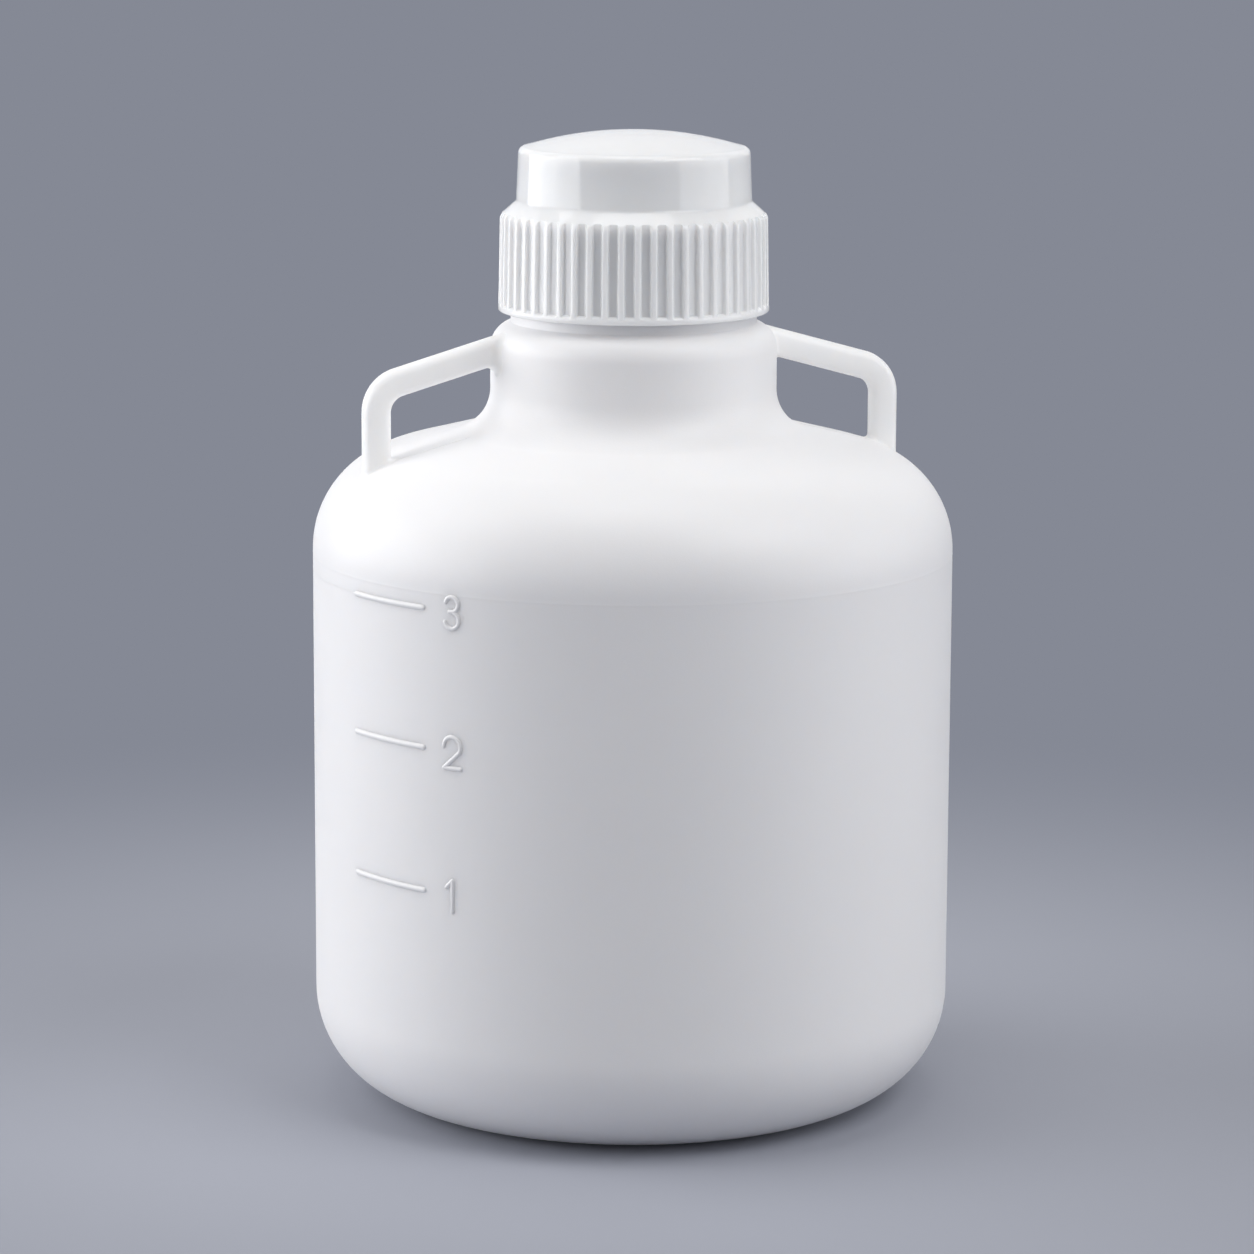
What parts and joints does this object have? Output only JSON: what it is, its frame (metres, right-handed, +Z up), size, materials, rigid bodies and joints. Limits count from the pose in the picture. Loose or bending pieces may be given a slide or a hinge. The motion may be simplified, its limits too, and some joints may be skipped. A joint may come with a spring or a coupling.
{
  "type": "carboy",
  "caption": "Round white plastic carboy with loop handles on its shoulder, raised litre marks up one side and a ribbed screw cap.",
  "frame": {"origin": "middle of the face the carboy stands on", "axes": "+Z up along the bottle's axis, X through the two handles, -Y the front, with the litre marks beside the -X handle"},
  "size_m": [0.1804, 0.1804, 0.2733],
  "materials": {
    "bottle_plastic": "satin, fine grain",
    "cap_plastic": "smooth, slightly glossy"
  },
  "bodies": {
    "root": {"bottle": "bottle_plastic", "cap": "cap_plastic"}
  },
  "joints": []
}
